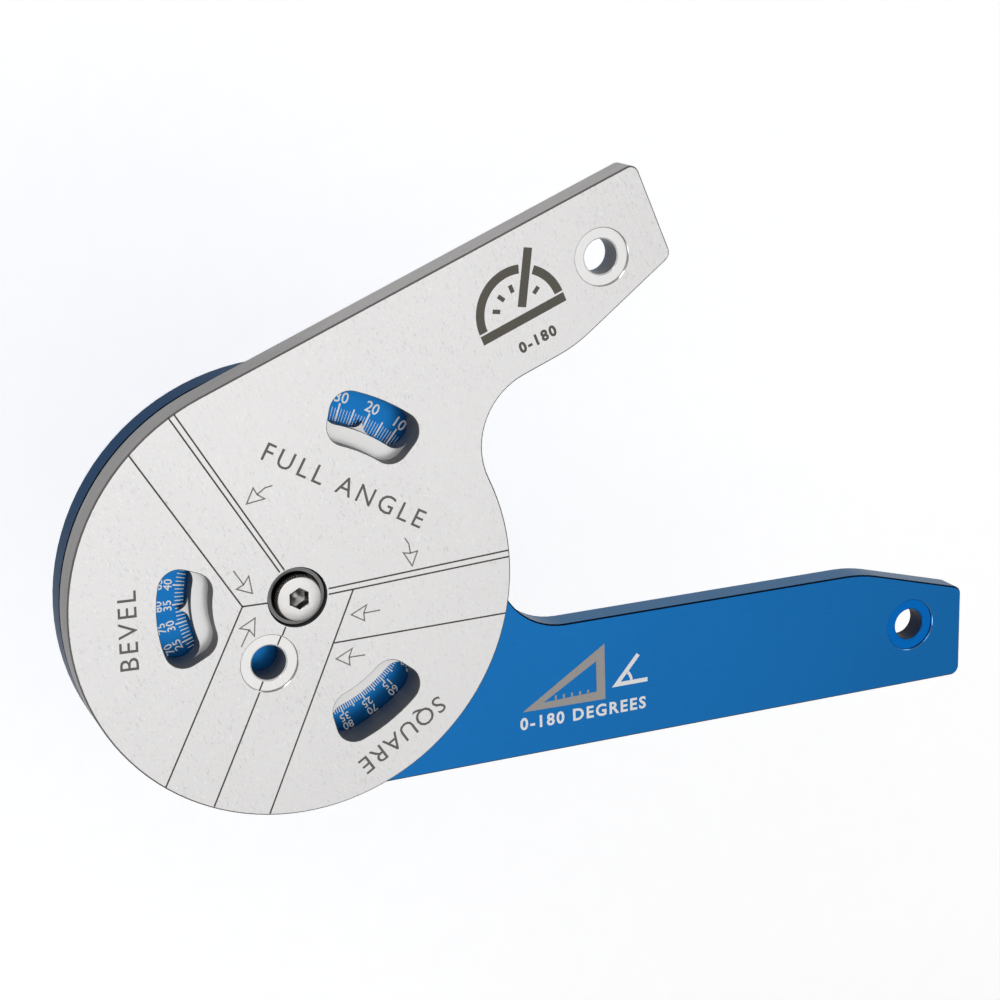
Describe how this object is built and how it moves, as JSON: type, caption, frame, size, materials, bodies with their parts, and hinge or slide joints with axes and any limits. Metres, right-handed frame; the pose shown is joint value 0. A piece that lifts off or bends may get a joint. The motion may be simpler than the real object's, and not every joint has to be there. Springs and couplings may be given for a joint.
{
  "type": "angle finder",
  "caption": "Two-arm angle finder: a windowed front disc and arm turn about a socket screw on a longer back arm, and the windows show the angle scales.",
  "frame": {"origin": "on the pivot axis, at the underside of the back plate", "axes": "+Z is the pivot axis, out of the reading side; +X runs along the front arm from pivot to tip; +Y is the outward normal of the front arm's measuring edge"},
  "size_m": [0.1454, 0.1162, 0.0117],
  "materials": {
    "silver_anodised": "fine brushed, clear anodised",
    "blue_anodised": "fine brushed, blue anodised",
    "insert_steel": "turned",
    "bush_steel": "turned, dark",
    "screw_steel": "stainless, knurled head",
    "washer_steel": "bright",
    "spring_steel": "oiled spring steel",
    "friction_polymer": "plain",
    "dark_engraving": "laser marked, matt",
    "white_engraving": "laser marked, matt"
  },
  "bodies": {
    "back_arm": {"back_plate": "blue_anodised", "thread_insert": "insert_steel", "pivot_bush": "bush_steel", "friction_ring": "friction_polymer"},
    "front_arm": {"front_plate": "silver_anodised", "flat_washer": "washer_steel", "disc_spring": "spring_steel"},
    "tension_screw": {"pivot_screw": "screw_steel"}
  },
  "joints": [
    {"name": "arm_pivot", "type": "hinge", "parent": "back_arm", "child": "front_arm", "pos_m": [0, 0, 0.0079], "axis": [0, 0, 1], "continuous": true},
    {"name": "tension_screw_turn", "type": "hinge", "parent": "back_arm", "child": "tension_screw", "pos_m": [0, 0, 0.0079], "axis": [0, 0, 1], "range_deg": [-90, 90]}
  ]
}
